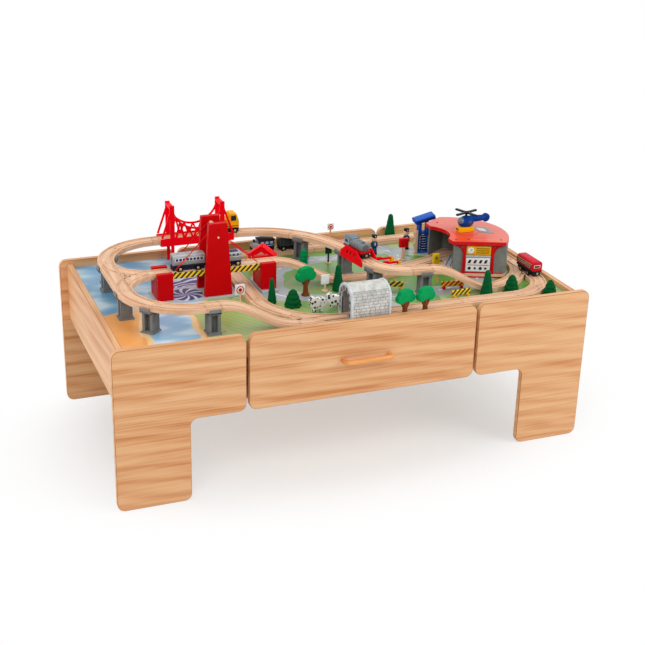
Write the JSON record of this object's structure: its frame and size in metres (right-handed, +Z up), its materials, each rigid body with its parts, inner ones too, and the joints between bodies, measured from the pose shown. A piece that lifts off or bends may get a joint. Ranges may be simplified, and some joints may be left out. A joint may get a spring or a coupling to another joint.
{
  "type": "train table",
  "caption": "Low wooden play table with a drawer, a printed play board and a wooden train set: raised track, lifting bridge, station, tunnel and rolling toy trains.",
  "frame": {"origin": "on the floor, in the middle of the outer box, handle included", "axes": "+X along the table towards the station end, +Y from the drawer front to the back, +Z up"},
  "size_m": [1.18, 0.636, 0.556],
  "materials": {
    "panel_wood": "clear satin lacquer over streaky light wood",
    "frame_wood": "plain sanded wood",
    "printed_board": "printed top, satin",
    "track_wood": "bare sanded beech",
    "handle_wood": "clear satin lacquer",
    "runner_steel": "zinc plated",
    "pier_grey": "moulded, matt",
    "base_grey": "moulded, matt",
    "bridge_red": "moulded, glossy",
    "leaf_wood": "wood with striped plastic side beams",
    "cord_red": "twisted cord",
    "wall_grey": "painted, matt",
    "roof_salmon": "painted, satin",
    "heli_blue": "moulded, glossy",
    "rotor_black": "moulded, matt",
    "signal_yellow": "moulded, glossy",
    "arm_red": "moulded, glossy",
    "loader_blue": "moulded, glossy",
    "stone_grey": "painted, matt",
    "tree_green": "painted wood",
    "sign_white": "painted wood",
    "figure_paint": "painted wood",
    "shed_red": "moulded, glossy",
    "stock_silver": "satin silver paint",
    "stock_blue": "glossy paint",
    "stock_dark": "satin paint",
    "stock_grey": "satin paint",
    "stock_red": "glossy paint",
    "stock_yellow": "glossy paint",
    "wheel_black": "moulded, satin"
  },
  "bodies": {
    "table": {"corner_panels_front": "panel_wood", "panels_back": "panel_wood", "end_boards": "panel_wood", "play_board": "printed_board", "support_frame": "frame_wood", "drawer_runners": "runner_steel", "joint_dowels": "frame_wood", "switch_tracks": "track_wood", "raised_tracks": "track_wood", "ramp_tracks": "track_wood", "ground_tracks": "track_wood", "bridge_piers": "pier_grey", "drawbridge_base": "base_grey", "drawbridge_towers": "bridge_red", "lift_cords": "cord_red", "suspension_bridge": "bridge_red", "girder_sides": "bridge_red", "station_plinth": "track_wood", "station_walls": "wall_grey", "station_roof": "roof_salmon", "helicopter_body": "heli_blue", "crossing_posts": "signal_yellow", "loader": "loader_blue", "tunnel": "stone_grey", "trees": "tree_green", "signs": "sign_white", "play_figures": "figure_paint", "red_shed": "shed_red"},
    "drawer": {"drawer_front": "panel_wood", "drawer_walls": "frame_wood", "drawer_bottom": "frame_wood", "drawer_slides": "runner_steel", "drawer_handle": "handle_wood"},
    "left_leaf": {"left_leaf": "leaf_wood"},
    "right_leaf": {"right_leaf": "leaf_wood"},
    "winder": {"winder": "track_wood"},
    "rotor": {"helicopter_rotor": "rotor_black"},
    "crossing_arm_back": {"crossing_arm_back": "arm_red"},
    "crossing_arm_front": {"crossing_arm_front": "arm_red"},
    "silver_coach": {"silver_coach": "stock_silver"},
    "silver_coach_front_axle": {"silver_coach_front_axle": "wheel_black"},
    "silver_coach_rear_axle": {"silver_coach_rear_axle": "wheel_black"},
    "silver_tender": {"silver_tender": "stock_silver"},
    "silver_tender_front_axle": {"silver_tender_front_axle": "wheel_black"},
    "silver_tender_rear_axle": {"silver_tender_rear_axle": "wheel_black"},
    "blue_loco": {"blue_loco": "stock_blue"},
    "blue_loco_front_axle": {"blue_loco_front_axle": "wheel_black"},
    "blue_loco_rear_axle": {"blue_loco_rear_axle": "wheel_black"},
    "dark_wagon": {"dark_wagon": "stock_dark"},
    "dark_wagon_front_axle": {"dark_wagon_front_axle": "wheel_black"},
    "dark_wagon_rear_axle": {"dark_wagon_rear_axle": "wheel_black"},
    "grey_loco": {"grey_loco": "stock_grey"},
    "grey_loco_front_axle": {"grey_loco_front_axle": "wheel_black"},
    "grey_loco_rear_axle": {"grey_loco_rear_axle": "wheel_black"},
    "red_coach": {"red_coach": "stock_red"},
    "red_coach_front_axle": {"red_coach_front_axle": "wheel_black"},
    "red_coach_rear_axle": {"red_coach_rear_axle": "wheel_black"},
    "yellow_truck": {"yellow_truck": "stock_yellow"},
    "yellow_truck_front_axle": {"yellow_truck_front_axle": "wheel_black"},
    "yellow_truck_rear_axle": {"yellow_truck_rear_axle": "wheel_black"}
  },
  "joints": [
    {"name": "drawer_slide", "type": "slide", "parent": "table", "child": "drawer", "axis": [0, -1, 0], "range_m": [0, 0.3]},
    {"name": "left_leaf_hinge", "type": "hinge", "parent": "table", "child": "left_leaf", "pos_m": [-0.2755, 0.028, 0.431], "axis": [0, 1, 0], "range_deg": [0, 25], "deforming": ["lift_cords"]},
    {"name": "right_leaf_hinge", "type": "hinge", "parent": "table", "child": "right_leaf", "pos_m": [-0.2575, 0.028, 0.431], "axis": [0, -1, 0], "range_deg": [0, 25]},
    {"name": "winder_turn", "type": "hinge", "parent": "table", "child": "winder", "pos_m": [-0.2665, 0.028, 0.54], "axis": [0, 1, 0], "range_deg": [0, 341]},
    {"name": "rotor_spin", "type": "hinge", "parent": "table", "child": "rotor", "pos_m": [0.395, 0.001, 0.52], "axis": [0, 0, 1], "continuous": true},
    {"name": "crossing_arm_back_hinge", "type": "hinge", "parent": "table", "child": "crossing_arm_back", "pos_m": [0.236, 0.095, 0.38], "axis": [0, 1, 0], "range_deg": [0, 80]},
    {"name": "crossing_arm_front_hinge", "type": "hinge", "parent": "table", "child": "crossing_arm_front", "pos_m": [0.241, 0.061, 0.38], "axis": [0, 1, 0], "range_deg": [0, 80]},
    {"name": "silver_coach_roll", "type": "slide", "parent": "left_leaf", "child": "silver_coach", "axis": [-1, 0, 0], "range_m": [0, 0.012]},
    {"name": "silver_coach_front_axle_turn", "type": "hinge", "parent": "silver_coach", "child": "silver_coach_front_axle", "pos_m": [-0.3095, 0.028, 0.4428], "axis": [0, -1, 0], "range_deg": [0, 91.68]},
    {"name": "silver_coach_rear_axle_turn", "type": "hinge", "parent": "silver_coach", "child": "silver_coach_rear_axle", "pos_m": [-0.3535, 0.028, 0.4428], "axis": [0, -1, 0], "range_deg": [0, 91.68]},
    {"name": "silver_tender_roll", "type": "slide", "parent": "right_leaf", "child": "silver_tender", "axis": [1, 0, 0], "range_m": [0, 0.03]},
    {"name": "silver_tender_front_axle_turn", "type": "hinge", "parent": "silver_tender", "child": "silver_tender_front_axle", "pos_m": [-0.2325, 0.028, 0.4428], "axis": [0, 1, 0], "range_deg": [0, 229.19]},
    {"name": "silver_tender_rear_axle_turn", "type": "hinge", "parent": "silver_tender", "child": "silver_tender_rear_axle", "pos_m": [-0.2105, 0.028, 0.4428], "axis": [0, 1, 0], "range_deg": [0, 229.19]},
    {"name": "blue_loco_roll", "type": "slide", "parent": "table", "child": "blue_loco", "axis": [1, 0, 0], "range_m": [0, 0.25]},
    {"name": "blue_loco_front_axle_turn", "type": "hinge", "parent": "blue_loco", "child": "blue_loco_front_axle", "pos_m": [-0.089, 0.245, 0.3868], "axis": [0, 1, 0], "range_deg": [0, 1909.87]},
    {"name": "blue_loco_rear_axle_turn", "type": "hinge", "parent": "blue_loco", "child": "blue_loco_rear_axle", "pos_m": [-0.053, 0.245, 0.3868], "axis": [0, 1, 0], "range_deg": [0, 1909.87]},
    {"name": "dark_wagon_roll", "type": "slide", "parent": "table", "child": "dark_wagon", "axis": [1, 0, 0], "range_m": [0, 0.25]},
    {"name": "dark_wagon_front_axle_turn", "type": "hinge", "parent": "dark_wagon", "child": "dark_wagon_front_axle", "pos_m": [-0.015, 0.245, 0.3868], "axis": [0, 1, 0], "range_deg": [0, 1909.87]},
    {"name": "dark_wagon_rear_axle_turn", "type": "hinge", "parent": "dark_wagon", "child": "dark_wagon_rear_axle", "pos_m": [0.017, 0.245, 0.3868], "axis": [0, 1, 0], "range_deg": [0, 1909.87]},
    {"name": "grey_loco_roll", "type": "slide", "parent": "table", "child": "grey_loco", "axis": [0.1392, -0.9903, 0], "range_m": [-0.015, 0.015]},
    {"name": "grey_loco_front_axle_turn", "type": "hinge", "parent": "grey_loco", "child": "grey_loco_front_axle", "pos_m": [0.09945, -0.02077, 0.4428], "axis": [0.9903, 0.1392, 0], "range_deg": [-114.6, 114.6]},
    {"name": "grey_loco_rear_axle_turn", "type": "hinge", "parent": "grey_loco", "child": "grey_loco_rear_axle", "pos_m": [0.09277, 0.02677, 0.4428], "axis": [0.9903, 0.1392, 0], "range_deg": [-114.6, 114.6]},
    {"name": "red_coach_roll", "type": "slide", "parent": "table", "child": "red_coach", "axis": [0, 1, 0], "range_m": [0, 0.1]},
    {"name": "red_coach_front_axle_turn", "type": "hinge", "parent": "red_coach", "child": "red_coach_front_axle", "pos_m": [0.525, -0.093, 0.3868], "axis": [-1, 0, 0], "range_deg": [0, 763.95]},
    {"name": "red_coach_rear_axle_turn", "type": "hinge", "parent": "red_coach", "child": "red_coach_rear_axle", "pos_m": [0.525, -0.127, 0.3868], "axis": [-1, 0, 0], "range_deg": [0, 763.95]},
    {"name": "yellow_truck_roll", "type": "slide", "parent": "table", "child": "yellow_truck", "axis": [-1, 0, 0], "range_m": [0, 0.1]},
    {"name": "yellow_truck_front_axle_turn", "type": "hinge", "parent": "yellow_truck", "child": "yellow_truck_front_axle", "pos_m": [-0.143, 0.266, 0.4428], "axis": [0, -1, 0], "range_deg": [0, 763.95]},
    {"name": "yellow_truck_rear_axle_turn", "type": "hinge", "parent": "yellow_truck", "child": "yellow_truck_rear_axle", "pos_m": [-0.179, 0.266, 0.4428], "axis": [0, -1, 0], "range_deg": [0, 763.95]}
  ],
  "couplings": [
    {"joint": "right_leaf_hinge", "follows": "left_leaf_hinge", "ratio": 1},
    {"joint": "winder_turn", "follows": "left_leaf_hinge", "ratio": 13.6},
    {"joint": "silver_coach_front_axle_turn", "follows": "silver_coach_roll", "rad_per_m": 133.33},
    {"joint": "silver_coach_rear_axle_turn", "follows": "silver_coach_roll", "rad_per_m": 133.33},
    {"joint": "silver_tender_front_axle_turn", "follows": "silver_tender_roll", "rad_per_m": 133.33},
    {"joint": "silver_tender_rear_axle_turn", "follows": "silver_tender_roll", "rad_per_m": 133.33},
    {"joint": "blue_loco_front_axle_turn", "follows": "blue_loco_roll", "rad_per_m": 133.33},
    {"joint": "blue_loco_rear_axle_turn", "follows": "blue_loco_roll", "rad_per_m": 133.33},
    {"joint": "dark_wagon_roll", "follows": "blue_loco_roll", "ratio": 1},
    {"joint": "dark_wagon_front_axle_turn", "follows": "blue_loco_roll", "rad_per_m": 133.33},
    {"joint": "dark_wagon_rear_axle_turn", "follows": "blue_loco_roll", "rad_per_m": 133.33},
    {"joint": "grey_loco_front_axle_turn", "follows": "grey_loco_roll", "rad_per_m": 133.33},
    {"joint": "grey_loco_rear_axle_turn", "follows": "grey_loco_roll", "rad_per_m": 133.33},
    {"joint": "red_coach_front_axle_turn", "follows": "red_coach_roll", "rad_per_m": 133.33},
    {"joint": "red_coach_rear_axle_turn", "follows": "red_coach_roll", "rad_per_m": 133.33},
    {"joint": "yellow_truck_front_axle_turn", "follows": "yellow_truck_roll", "rad_per_m": 133.33},
    {"joint": "yellow_truck_rear_axle_turn", "follows": "yellow_truck_roll", "rad_per_m": 133.33}
  ]
}
